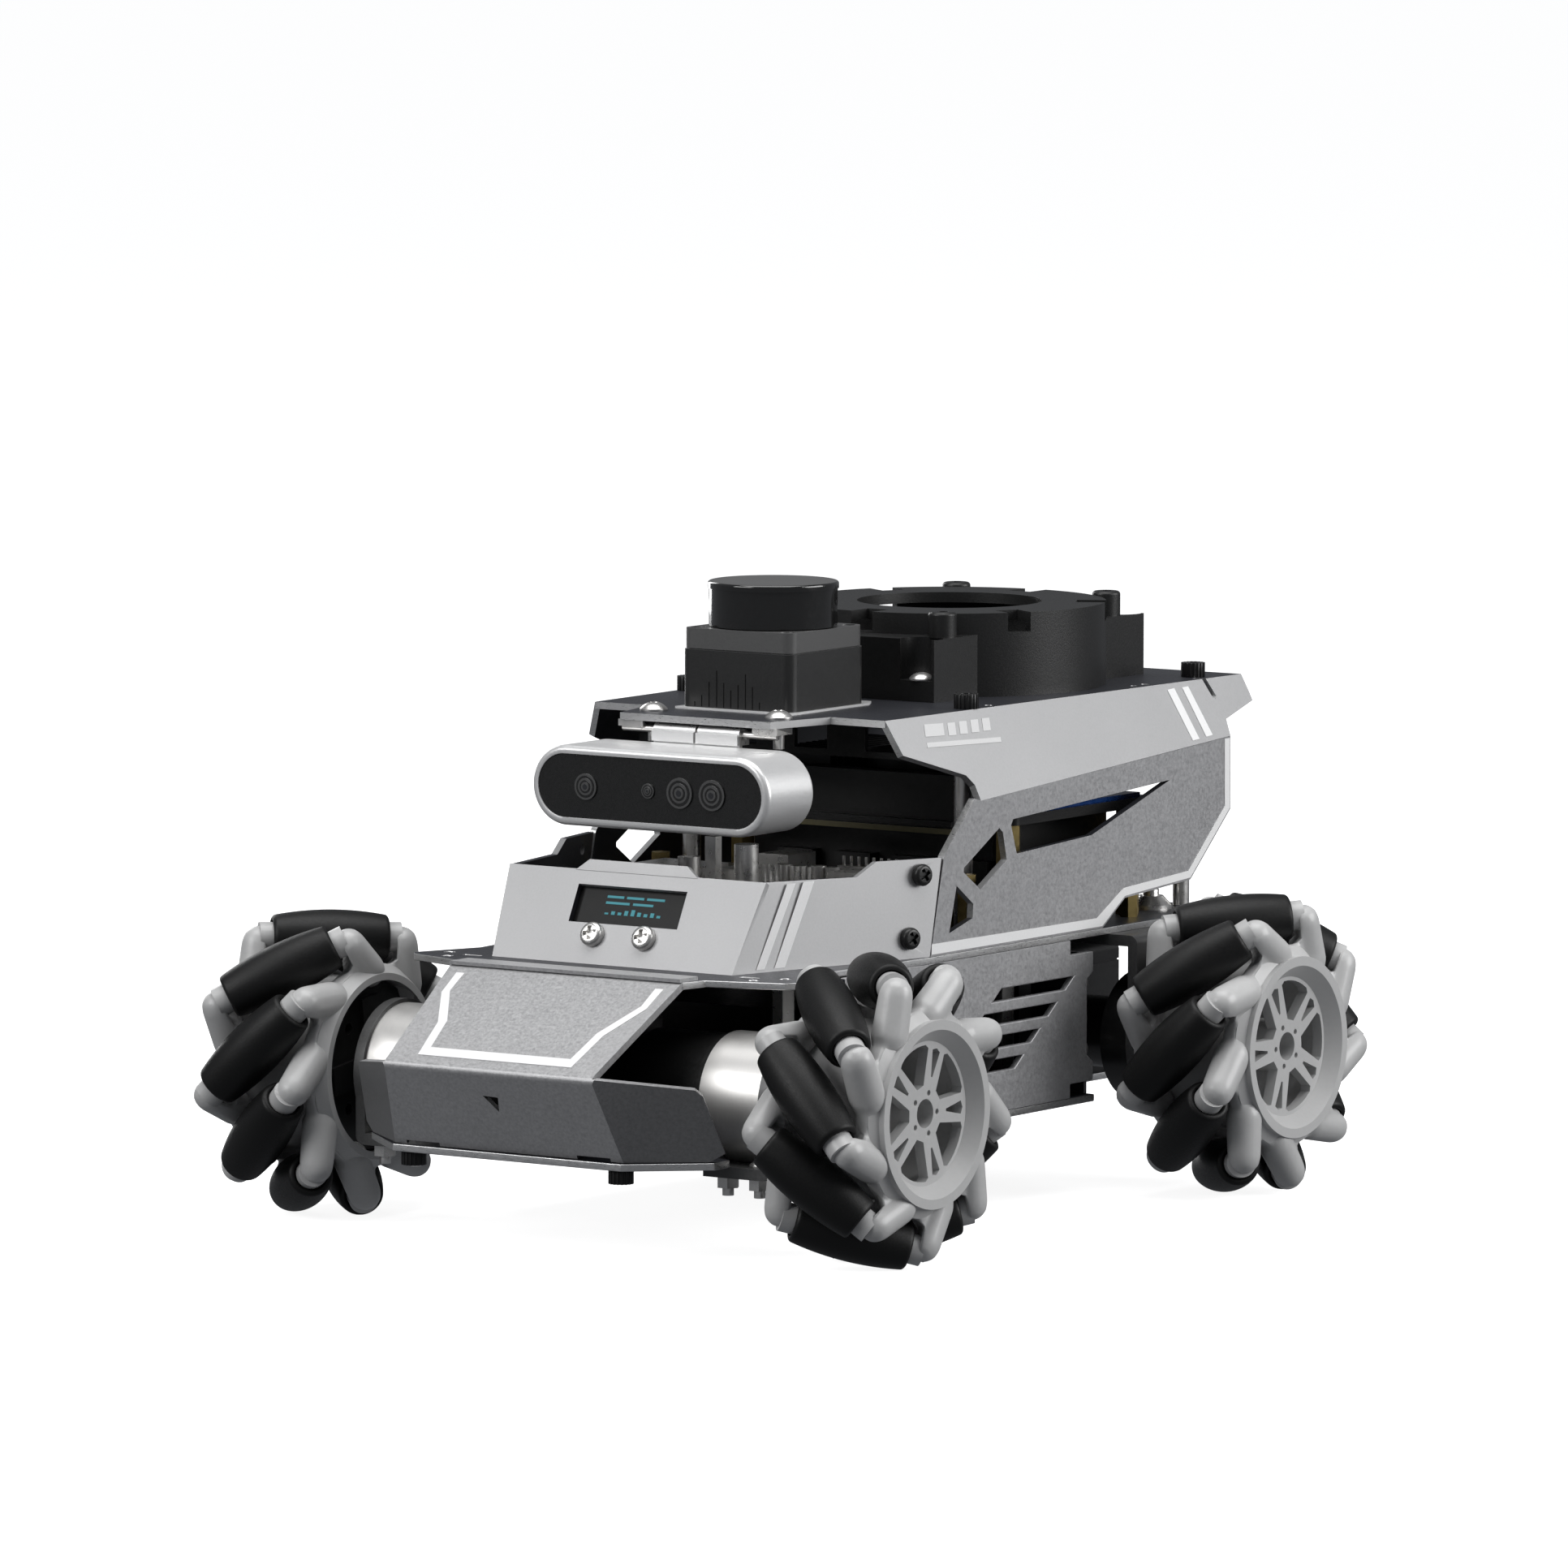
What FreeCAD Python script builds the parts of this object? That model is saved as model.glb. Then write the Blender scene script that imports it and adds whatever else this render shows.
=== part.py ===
import FreeCAD, Part
import math
import os

os.makedirs("parts", exist_ok=True)
V = FreeCAD.Vector

# ---- driving dimensions, millimetres. X points to the robot's left, the front faces -Y, Z is up.
# y = 0 is midway between the axles while drawing; CENTRE_SHIFT then centres the whole robot.
CENTRE_SHIFT = -4.5
SHEET = 2.0

WHEEL_R = 42.85
AXLE_Y = 92.15
TRACK_X = 93.26
ROLLERS = 9
ROLLER_MID_R = 7.75
ROLLER_HALF = 16.5
ROLLER_AXIS_R = WHEEL_R - ROLLER_MID_R
BORE_GAP = 0.05
PIN_R = 1.5
PIN_HALF = 23.0
LUG_TIP_R = 4.4
LUG_ROOT_R = 4.9
SHAFT_R = 3.0

DECK_TOP = 75.5
FLOOR_BOTTOM = 26.3
FLOOR_TOP = 28.4
TOP_PLATE = 141.5
SIDE_X = 60.5

MOTOR_R = 18.5
CAN_R = 17.4
REAR_CAN_R = 10.2
BRACKET_T = 3.2
BRACKET_OUT = 70.0

CAM_W = 80.4
CAM_H = 22.5
CAM_FRONT = -68.0
CAM_BACK = -45.0
CAM_Z = 122.6
ROD_R = 1.0
ROD_Y = -43.0
ROD_Z = 137.2

LIDAR_W = 37.7
LIDAR_Y = -7.2
LIDAR_HEAD_R = 18.5

RING_Y = 82.0
RING_R = 45.0
RING_BORE_R = 26.6
RING_TOP = 165.3
POST_X = 26.0
POST_DY = 42.5
SEAT_X = 25.0
SEAT_DY = 51.5


# ---- small helpers
def box(x0, x1, y0, y1, z0, z1):
    return Part.makeBox(x1 - x0, y1 - y0, z1 - z0, V(x0, y0, z0))


def rod(p, q, r):
    d = q.sub(p)
    return Part.makeCylinder(r, d.Length, p, d)


def tube(p, q, r_out, r_in):
    return rod(p, q, r_out).cut(rod(p, q, r_in))


def mirror_x(s):
    return s.mirror(V(0, 0, 0), V(1, 0, 0))


def both(s):
    return [s, mirror_x(s)]


def turned(s, angle, centre=V(0, 0, 0), axis=V(1, 0, 0)):
    c = s.copy()
    c.rotate(centre, axis, angle)
    return c


def moved(s, x, y, z):
    c = s.copy()
    c.translate(V(x, y, z))
    return c


def join(shapes):
    return shapes[0].multiFuse(shapes[1:]).removeSplitter()


def flat_xy(points, z0, z1):
    vs = [V(x, y, z0) for x, y in points]
    return Part.Face(Part.makePolygon(vs + [vs[0]])).extrude(V(0, 0, z1 - z0))


def flat_yz(points, x0, x1):
    vs = [V(x0, y, z) for y, z in points]
    return Part.Face(Part.makePolygon(vs + [vs[0]])).extrude(V(x1 - x0, 0, 0))


def plane_sheet(points, inward, t=SHEET):
    # outer face through the first three points; the rest are dropped onto that plane
    a, b, c = points[0], points[1], points[2]
    n = b.sub(a).cross(c.sub(a))
    n.normalize()
    if n.dot(inward) < 0:
        n = n.negative()
    vs = [p.sub(V(n).multiply(p.sub(a).dot(n))) for p in points]
    return Part.Face(Part.makePolygon(vs + [vs[0]])).extrude(V(n).multiply(t))


def pill(width, height, y0, y1, z):
    r = height / 2.0
    a = width / 2.0 - r
    body = box(-a, a, y0, y1, z - r, z + r)
    ends = [rod(V(s * a, y0, z), V(s * a, y1, z), r) for s in (-1, 1)]
    return join([body] + ends)


def edges_on(shape, p, q, tol=0.6):
    # the edges of a shape that lie along the segment p-q
    d = q.sub(p)
    length = d.Length
    d.normalize()
    found = []
    for e in shape.Edges:
        ok = True
        for v in (e.Vertexes[0].Point, e.Vertexes[-1].Point, e.CenterOfMass):
            w = v.sub(p)
            along = w.dot(d)
            off = w.sub(V(d).multiply(along)).Length
            ok = ok and off < tol and -tol < along < length + tol
        if ok and e.Length > 1.0:
            found.append(e)
    return found


def button_head(p, n, r, h):
    # a domed screw head seated at p and standing along n, with a cross recess left to the finish
    head = Part.makeSphere(r * 1.25, V(0, 0, h - r * 1.25))
    head = head.common(Part.makeCylinder(r, h + 1.0, V(0, 0, 0)))
    head = head.cut(Part.makeCylinder(r * 0.38, h, V(0, 0, h * 0.55)))
    head.Placement = FreeCAD.Placement(p, FreeCAD.Rotation(V(0, 0, 1), n))
    return head


def socket_head(p, n, r, h):
    head = Part.makeCylinder(r, h, V(0, 0, 0))
    head = head.cut(Part.makeCylinder(r * 0.5, h, V(0, 0, h * 0.45)))
    flutes = [
        Part.makeCylinder(r * 0.11, h, V(r * math.cos(i * math.pi / 9), r * math.sin(i * math.pi / 9), 0))
        for i in range(18)
    ]
    head = head.cut(Part.makeCompound(flutes))
    head.Placement = FreeCAD.Placement(p, FreeCAD.Rotation(V(0, 0, 1), n))
    return head


def pan_head(p, n, r, h):
    # a rounded pan head with a cross recess
    head = Part.makeCylinder(r, h, V(0, 0, 0))
    head = head.makeFillet(h * 0.55, [e for e in head.Edges if e.Vertexes[0].Point.z > h * 0.9
                                      and e.Vertexes[-1].Point.z > h * 0.9])
    for a in (0, 90):
        slot = Part.makeBox(r * 1.2, r * 0.36, h, V(-r * 0.6, -r * 0.18, h * 0.5))
        slot.rotate(V(0, 0, 0), V(0, 0, 1), a + 12)
        head = head.cut(slot)
    head.Placement = FreeCAD.Placement(p, FreeCAD.Rotation(V(0, 0, 1), n))
    return head


def hexagon(p, n, across, h, bore=0.0):
    r = across / math.sqrt(3.0)
    pts = [V(r * math.cos(i * math.pi / 3), r * math.sin(i * math.pi / 3), 0) for i in range(6)]
    nut = Part.Face(Part.makePolygon(pts + [pts[0]])).extrude(V(0, 0, h))
    if bore > 0:
        nut = nut.cut(Part.makeCylinder(bore, h, V(0, 0, 0)))
    nut.Placement = FreeCAD.Placement(p, FreeCAD.Rotation(V(0, 0, 1), n))
    return nut


def save(name, shape):
    shapes = shape if isinstance(shape, list) else [shape]
    solids = []
    for s in shapes:
        solids += [moved(x, 0, CENTRE_SHIFT, 0) for x in s.Solids]
    Part.makeCompound(solids).exportStep("parts/%s.step" % name)
    print(name, len(solids), [round(s.Volume) for s in solids][:6])


# ---- mecanum wheel, drawn for the left side about its own centre, outward is +X
def roller_frame(hand):
    c = V(0, ROLLER_AXIS_R, 0)
    d = V(1, 0, hand)
    d.normalize()
    return c, d


def at(c, d, s):
    return c.add(V(d).multiply(s))


def polar(x, r, degrees):
    a = math.radians(degrees)
    return V(x, r * math.cos(a), r * math.sin(a))


def make_roller(hand):
    ends = ROLLER_HALF - 0.6
    r_end = math.sqrt(WHEEL_R ** 2 - ends ** 2 / 2.0) - ROLLER_AXIS_R
    bore = PIN_R + BORE_GAP
    core = ROLLER_HALF - 1.0
    left = [V(bore, 0, -core), V(4.7, 0, -core), V(4.7, 0, -ROLLER_HALF), V(5.5, 0, -ROLLER_HALF), V(r_end, 0, -ends)]
    right = [V(p.x, 0, -p.z) for p in reversed(left)]
    arc = Part.Arc(V(r_end, 0, -ends), V(ROLLER_MID_R, 0, 0), V(r_end, 0, ends)).toShape()
    wires = [Part.makePolygon(left), arc, Part.makePolygon(right + [left[0]])]
    edges = []
    for w in wires:
        edges += w.Edges
    face = Part.Face(Part.Wire(Part.__sortEdges__(edges)))
    body = face.revolve(V(0, 0, 0), V(0, 0, 1), 360)
    c, d = roller_frame(hand)
    body.Placement = FreeCAD.Placement(c, FreeCAD.Rotation(V(0, 0, 1), d))
    return body


def make_lug(hand):
    c, d = roller_frame(hand)
    tip = polar(14.6, 36.3, 22.5 * hand)
    root = polar(14.2, 26.8, 37.0 * hand)
    axis = root.sub(tip)
    body = join([
        Part.makeSphere(LUG_TIP_R, tip),
        Part.makeSphere(LUG_ROOT_R, root),
        Part.makeCone(LUG_TIP_R, LUG_ROOT_R, axis.Length, tip, axis),
    ])
    seat = ROLLER_HALF + 2.1
    body = body.cut(rod(at(c, d, -10), at(c, d, seat), 40.0))
    boss = rod(at(c, d, ROLLER_HALF - 0.7), at(c, d, seat + 1.5), 4.2)
    return body.fuse(boss).cut(rod(at(c, d, ROLLER_HALF - 2), at(c, d, PIN_HALF), PIN_R))


def make_hub(hand, lug_phase, spoke_phase):
    profile = [
        (19.57, 25.9), (19.57, 23.2), (15.6, 19.9), (-12.5, 19.9), (-12.5, 24.2), (-19.2, 24.2),
        (-19.2, 26.2), (-16.4, 28.6), (-12.2, 28.6), (-11.4, 24.6), (11.4, 24.6), (12.2, 28.6),
        (16.2, 28.6), (17.9, 25.9),
    ]
    vs = [V(x, r, 0) for x, r in profile]
    drum = Part.Face(Part.makePolygon(vs + [vs[0]])).revolve(V(0, 0, 0), V(1, 0, 0), 360)
    lug = make_lug(hand)
    inner = lug.copy()
    inner.rotate(V(0, 0, 0), V(0, 1, 0), 180)
    step = 360.0 / ROLLERS
    lugs = []
    for k in range(ROLLERS):
        lugs.append(turned(lug, lug_phase + k * step))
        lugs.append(turned(inner, lug_phase + k * step))
    spokes = rod(V(12.4, 0, 0), V(15.54, 0, 0), 20.2)
    floor = rod(V(-8.0, 0, 0), V(-6.0, 0, 0), 20.2)
    boss = rod(V(-8.0, 0, 0), V(12.6, 0, 0), 7.4)
    cuts = [rod(V(-9, 0, 0), V(17, 0, 0), 4.0)]
    for k in range(5):
        a = spoke_phase + 72.0 * k
        drop = [polar(11, 10.2, a - 2), polar(11, 10.2, a + 2), polar(11, 17.6, a + 6.0), polar(11, 18.3, a),
                polar(11, 17.6, a - 6.0)]
        b = a + 36.0
        dee = [polar(11, 7.8, b - 12), polar(11, 7.8, b + 12)]
        dee += [polar(11, 17.9, b + 23.0)]
        dee += [polar(11, 18.8, b + t) for t in (19, 12, 6, 0, -6, -12, -19)]
        dee += [polar(11, 17.9, b - 23.0)]
        for poly in (drop, dee):
            cuts.append(Part.Face(Part.makePolygon(poly + [poly[0]])).extrude(V(6, 0, 0)))
        cuts.append(rod(polar(13.0, 5.8, a), polar(17, 5.8, a), 0.8))
        cuts.append(rod(polar(-9, 15.6, b), polar(-5, 15.6, b), 2.6))
    hub = join([drum, spokes, floor, boss] + lugs).cut(Part.makeCompound(cuts))
    c, d = roller_frame(hand)
    pin = rod(at(c, d, -PIN_HALF), at(c, d, PIN_HALF), PIN_R)
    pins = [turned(pin, lug_phase + k * step) for k in range(ROLLERS)]
    adapter = rod(V(-15.6, 0, 0), V(-12.6, 0, 0), 23.6)
    adapter = adapter.fuse(rod(V(-18.4, 0, 0), V(-9.0, 0, 0), 6.5))
    bars = [turned(box(-17.0, -15.6, -4, 4, -20, 20), 90.0 * k + lug_phase) for k in range(2)]
    adapter = join([adapter] + bars)
    holes = [rod(polar(-18, 16, 45 + 90 * k), polar(-12, 16, 45 + 90 * k), 1.6) for k in range(4)]
    adapter = adapter.cut(Part.makeCompound(holes)).cut(rod(V(-19, 0, 0), V(-8, 0, 0), SHAFT_R))
    shaft = rod(V(-33.0, 0, 0), V(-8.5, 0, 0), SHAFT_R)
    return [hub] + pins + [adapter, shaft]


def make_wheel(tag, side, axle_y, hand, lug_phase, spoke_phase):
    def place(s):
        s = moved(s, TRACK_X, 0, 0)
        if side < 0:
            s = mirror_x(s)
        return moved(s, 0, axle_y, WHEEL_R)

    save("wheel_hub_%s" % tag, [place(s) for s in make_hub(hand, lug_phase, spoke_phase)])
    roller = make_roller(hand)
    for k in range(ROLLERS):
        save("roller_%s_%d" % (tag, k + 1), place(turned(roller, lug_phase + k * 360.0 / ROLLERS)))


make_wheel("fl", 1, -AXLE_Y, 1, 8.4, 0.0)
make_wheel("fr", -1, -AXLE_Y, 1, 8.4, 0.0)
make_wheel("rl", 1, AXLE_Y, -1, 17.3, 40.0)
make_wheel("rr", -1, AXLE_Y, -1, 17.3, 40.0)


# ---- floor plate
half = [(38.5, -136.2), (58.0, -119.5), (58.0, -112.0), (50.0, -108.0), (50.0, -76.0), (SIDE_X, -62.0), (SIDE_X, 66.3),
        (35.0, 69.0), (35.0, 122.0)]
floor = flat_xy(half + [(-x, y) for x, y in reversed(half)], FLOOR_BOTTOM, FLOOR_TOP)
slots = [box(-30, 30, y, y + 4, 20, 30) for y in (-60, -20, 20)]
drills = [rod(V(sx * 30, y, 20), V(sx * 30, y, 30), 1.7) for sx in (-1, 1) for y in (-46, 46)]
wells = [rod(V(sx * 8.8, -AXLE_Y, WHEEL_R), V(sx * 51.0, -AXLE_Y, WHEEL_R), MOTOR_R + 0.1) for sx in (-1, 1)]
save("bottom_plate", floor.cut(Part.makeCompound(slots + drills + wells)))


# ---- deck plate
half = [(39.1, -107.8), (41.0, -99.5), (63.0, -92.6), (64.8, -90.0), (56.5, -70.0), (SIDE_X, -20.0), (SIDE_X, 106.0),
        (50.0, 132.0), (50.0, 138.0)]
deck = flat_xy(half + [(-x, y) for x, y in reversed(half)], DECK_TOP - SHEET, DECK_TOP)
cuts = []
for sx in (-1, 1):
    cuts.append(rod(V(sx * 57, -84, 60), V(sx * 57, -84, 90), 1.6))
    cuts.append(rod(V(sx * 52, -92, 60), V(sx * 52, -92, 90), 1.6))
    cuts.append(box(min(sx * 44, sx * 50), max(sx * 44, sx * 50), -88, -86, 60, 90))
deck = deck.cut(Part.makeCompound(cuts)).cut(box(-22, 22, 30, 60, 60, 90))
save("deck_plate", deck)


# ---- front hood: slope, front face and two folded wings
TOP_C = V(39.1, -107.8, DECK_TOP)
BEND_C = V(34.8, -145.3, 52.2)
FOOT_C = V(38.5, -134.9, 28.6)


def left_of(p):
    return V(-p.x, p.y, p.z)


inside = V(0, 1, 0.2)
slope = plane_sheet([TOP_C, BEND_C, left_of(BEND_C), left_of(TOP_C)], V(0, 0.4, -1))
front = plane_sheet([BEND_C, FOOT_C, left_of(FOOT_C), left_of(BEND_C)], inside)
wings = []
for sx in (-1, 1):
    pts = [V(34.8, -145.3, 52.2), V(38.5, -134.9, 28.6), V(57.0, -120.2, 28.6), V(59.5, -116.6, 31.5),
           V(57.2, -124.0, 47.6), V(55.8, -125.6, 49.4)]
    pts = [V(sx * p.x, p.y, p.z) for p in pts]
    wings.append(plane_sheet(pts, V(-sx * 0.6, 0.76, 0.2)))
hood = join([slope, front] + wings)
tri = [V(1.5, -150, 44.6), V(-3.6, -150, 44.8), V(0.6, -150, 40.4)]
hood = hood.cut(Part.Face(Part.makePolygon(tri + [tri[0]])).extrude(V(0, 20, 0)))
notch = [box(sx * 28.8 - 5.6, sx * 28.8 + 5.6, -150, -130, 27, 29.6) for sx in (-1, 1)]
hood = hood.cut(Part.makeCompound(notch + [deck]))
hood = hood.makeFillet(2.2, edges_on(hood, left_of(BEND_C), BEND_C))
lip = box(-38.9, 38.9, -108.6, -100.0, DECK_TOP, DECK_TOP + 1.0)
save("front_hood", [hood, lip])


# ---- display cabin: leaning front and two flared cheeks
CAB_A = V(40.7, -86.2, DECK_TOP)
CAB_B = V(43.5, -73.7, 100.3)
front = plane_sheet([CAB_A, CAB_B, left_of(CAB_B), left_of(CAB_A)], V(0, 1, -0.4), 1.8)
cheeks = []
for sx in (-1, 1):
    pts = [CAB_A, CAB_B, V(SIDE_X, -18.0, DECK_TOP), V(SIDE_X, -12.2, 102.9), V(54.6, -35.0, 103.4), V(52.9, -42.0, 99.6)]
    order = [pts[0], pts[2], pts[3], pts[4], pts[5], pts[1]]
    order = [V(sx * p.x, p.y, p.z) for p in order]
    cheeks.append(plane_sheet(order, V(-sx, 0.2, 0), 1.8))
cabin = join([front] + cheeks)
rise = plane_sheet([V(-16.5, -73.1, 103.1), V(16.5, -73.1, 103.1), V(20.7, -74.0, 100.0), V(-20.7, -74.0, 100.0)],
                   V(0, 1, -0.4), 1.8)
cabin = cabin.fuse(rise).removeSplitter()
lean = math.degrees(math.atan2(12.5, 24.8))
window = turned(box(-18.4, 18.4, -20, 20, -5.6, 5.6), -lean)
cabin = cabin.cut(moved(window, 0, -79.2, 91.8))
sockets = []
for sx in (-1, 1):
    for y, z in ((-20.5, 98.7), (-25.2, 81.3)):
        sockets.append(rod(V(sx * 40, y, z), V(sx * 70, y, z), 1.6))
cabin = cabin.cut(Part.makeCompound(sockets + [deck]))
save("display_cabin", cabin)


# ---- upper cover: roof, two slanted strips, two side panels
def strip_point(y, z):
    x = SIDE_X - 0.42 * (z - 117.4) + 0.0254 * (y - 11.1)
    return V(x, y, z)


half = [(25.6, -45.7), (30.9, -23.6), (strip_point(-24.2, TOP_PLATE).x, -24.2), (strip_point(153.2, TOP_PLATE).x, 153.2)]
roof = flat_xy(half + [(-x, y) for x, y in reversed(half)], TOP_PLATE - SHEET, TOP_PLATE)
outline = [(-24.2, 141.5), (-21.3, 131.8), (4.6, 124.4), (7.2, 121.6), (7.6, 117.2), (137.5, 125.1), (138.2, 129.8),
           (154.4, 133.9), (154.2, 136.2), (153.2, 141.5)]
slot_line = [(133.0, 141.6), (134.9, 141.6), (137.2, 136.4), (136.5, 135.4), (135.2, 136.0)]
panel = [(7.6, 117.2), (137.4, 125.0), (137.6, 104.0), (116.4, 85.3), (81.9, 83.1), (70.1, DECK_TOP), (-17.7, DECK_TOP),
         (-11.0, 103.2), (4.4, 118.0)]
window = [(23.9, 110.6), (22.9, 109.0), (25.8, 100.7), (64.3, 102.6), (105.4, 115.0)]
quad = [(16.9, 108.7), (18.7, 107.4), (20.7, 99.4), (7.4, 92.2), (-1.0, 97.7), (-1.0, 99.0)]
tri = [(-4.6, 94.3), (3.8, 88.5), (3.5, 84.5), (-8.3, 81.3)]
pieces = [roof]
cuts = []
for sx in (-1, 1):
    strip_pts = [V(sx * strip_point(y, z).x, y, z) for y, z in outline]
    normal = strip_pts[5].sub(strip_pts[0]).cross(strip_pts[-1].sub(strip_pts[0]))
    normal.normalize()
    if normal.x * sx > 0:
        normal = normal.negative()
    wire = Part.makePolygon(strip_pts + [strip_pts[0]])
    pieces.append(Part.Face(wire).extrude(normal.multiply(SHEET)))
    x0, x1 = sorted((sx * (SIDE_X - SHEET), sx * SIDE_X))
    pieces.append(flat_yz(panel, x0, x1))
    for poly in (window, quad, tri):
        cuts.append(flat_yz(poly, min(sx * 50, sx * 66), max(sx * 50, sx * 66)))
    cuts.append(flat_yz(slot_line, min(sx * 50, sx * 66), max(sx * 50, sx * 66)))
    cuts.append(rod(V(sx * 49, 110, 130), V(sx * 49, 110, 150), 1.4))
    cuts.append(rod(V(sx * 49, 104, 130), V(sx * 49, 104, 150), 1.1))
    cuts.append(rod(V(sx * 47.5, 31, 130), V(sx * 47.5, 31, 150), 1.3))
cuts.append(rod(V(0, 82, 130), V(0, 82, 150), 24.0))
cover = join(pieces).cut(Part.makeCompound(cuts))
save("upper_cover", cover)


# ---- lower side panels with slanted slots and a rear flap turned inward
panels = []
for sx in (-1, 1):
    x0, x1 = sorted((sx * (SIDE_X - SHEET), sx * SIDE_X))
    wall = box(x0, x1, -60.0, 53.8, FLOOR_TOP, DECK_TOP - SHEET)
    lobe = flat_yz([(53.8, 32.5), (65.5, 32.5), (65.5, 38.0), (62.4, 40.0), (62.4, 61.5), (65.5, 63.5), (65.5, 69.3),
                    (53.8, 69.3)], x0, x1)
    cut = []
    for i, (a, b) in enumerate(((18.3, 55.5), (9.6, 46.7), (0.6, 37.9), (-8.4, 29.5))):
        top = 63.1 - 6.6 * i
        cut.append(flat_yz([(a, top), (b, top), (b - 4.4, top - 3.4), (a - 4.4, top - 3.4)], x0 - 1, x1 + 1))
    panels.append(join([wall, lobe]).cut(Part.makeCompound(cut)))
rear = box(-58.5, 58.5, 64.0, 65.5, FLOOR_TOP, 69.0)
rear = rear.cut(box(-40, 40, 60, 70, 36, 62))
save("lower_side_panels", panels + [rear])


# ---- motor brackets and gear motors
brackets = []
motors = []
for axle in (-AXLE_Y, AXLE_Y):
    for sx in (-1, 1):
        b0 = BRACKET_OUT - BRACKET_T
        front_pair = axle < 0
        low = FLOOR_BOTTOM - BRACKET_T if front_pair else DECK_TOP - SHEET - BRACKET_T
        foot_in = 48.0 if front_pair else 36.0
        plate = box(b0, BRACKET_OUT, axle - 18.5, axle + 18.5, min(low, WHEEL_R), max(low + BRACKET_T, WHEEL_R))
        crown = rod(V(b0, axle, WHEEL_R), V(BRACKET_OUT, axle, WHEEL_R), 19.6)
        foot = box(foot_in, BRACKET_OUT, axle - 18.5, axle + 18.5, low, low + BRACKET_T)
        b = join([plate, crown, foot])
        holes = [rod(V(60, axle, WHEEL_R), V(75, axle, WHEEL_R), 6.4)]
        for k in range(6):
            a = math.radians(60 * k)
            y, z = axle + 15.5 * math.cos(a), WHEEL_R + 15.5 * math.sin(a)
            holes.append(rod(V(60, y, z), V(75, y, z), 1.6))
        holes.append(rod(V(40, axle, WHEEL_R), V(b0, axle, WHEEL_R), MOTOR_R + 0.05))
        b = b.cut(Part.makeCompound(holes))
        corner = low if front_pair else low + BRACKET_T
        b = b.makeFillet(2.5, edges_on(b, V(BRACKET_OUT, axle - 18.5, corner), V(BRACKET_OUT, axle + 18.5, corner)))
        box_in = 46.4 if front_pair else 57.5
        gearbox = rod(V(box_in, axle, WHEEL_R), V(b0, axle, WHEEL_R), MOTOR_R)
        nose = rod(V(b0 - 1, axle, WHEEL_R), V(BRACKET_OUT - 0.4, axle, WHEEL_R), 6.0)
        gearbox = gearbox.fuse(nose).cut(rod(V(59.0, axle, WHEEL_R), V(75, axle, WHEEL_R), SHAFT_R + BORE_GAP))
        collar = rod(V(44.2, axle, WHEEL_R), V(46.4, axle, WHEEL_R), 17.9)
        can = rod(V(20.3, axle, WHEEL_R), V(44.2, axle, WHEEL_R), CAN_R)
        encoder = rod(V(9.0, axle, WHEEL_R), V(20.3, axle, WHEEL_R), 15.6)
        plug = box(9.0, 16.0, axle - 8, axle + 8, WHEEL_R + 15.0, WHEEL_R + 19.5)
        parts = [gearbox, collar, can, encoder.fuse(plug)]
        if not front_pair:
            parts = [gearbox, rod(V(37.0, axle, WHEEL_R), V(57.5, axle, WHEEL_R), REAR_CAN_R)]
        brackets.append(b if sx > 0 else mirror_x(b))
        motors += [p if sx > 0 else mirror_x(p) for p in parts]
save("motor_brackets", brackets)
save("gear_motors", motors)


# ---- standoffs: floor to deck, deck to roof
posts = []
for sx in (-1, 1):
    for y in (-60, 50):
        posts.append(hexagon(V(sx * 40, y, FLOOR_TOP), V(0, 0, 1), 6.0, DECK_TOP - SHEET - FLOOR_TOP))
    posts.append(rod(V(sx * 46.6, 19.5, DECK_TOP), V(sx * 46.6, 19.5, TOP_PLATE - SHEET), 2.65))
    posts.append(rod(V(sx * 46.0, 134.0, DECK_TOP), V(sx * 46.0, 134.0, TOP_PLATE - SHEET), 2.4))
    posts.append(hexagon(V(sx * 50.0, 100.0, DECK_TOP), V(0, 0, 1), 5.0, 20.0))
    posts.append(hexagon(V(sx * 52.5, 12.5, DECK_TOP), V(0, 0, 1), 5.0, 20.0))
save("standoffs", posts)


# ---- spinning scanner: fixed body and turning head
LY = LIDAR_Y
w = LIDAR_W / 2.0
base_plate = flat_xy([(-w - 1, LY - w - 1), (w + 1, LY - w - 1), (w + 1, LY + w), (w - 2, LY + w + 5.5),
                      (-w + 2, LY + w + 5.5), (-w - 1, LY + w)], TOP_PLATE, TOP_PLATE + 0.6)


def rounded_block(half, z0, z1, r):
    b = box(-half, half, LY - half, LY + half, z0, z1)
    upright = [e for e in b.Edges if abs(e.Vertexes[0].Point.z - e.Vertexes[-1].Point.z) > 0.1]
    return b.makeFillet(r, upright)


lower = rounded_block(w, TOP_PLATE + 0.6, 158.3, 3.4)
upper = rounded_block(w - 0.3, 158.6, 164.3, 3.4)
waist = rounded_block(w - 0.9, 158.3, 158.6, 3.0)
body = join([lower, waist, upper])
pockets = [rod(V(sx * 15.2, LY + sy * 15.2, 162.8), V(sx * 15.2, LY + sy * 15.2, 165), 2.1)
           for sx in (-1, 1) for sy in (-1, 1)]
bearing = rod(V(0, LY, 158.0), V(0, LY, 165), 6.0 + BORE_GAP)
body = body.cut(Part.makeCompound(pockets + [bearing]))
save("scanner_body", [base_plate, body])

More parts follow.
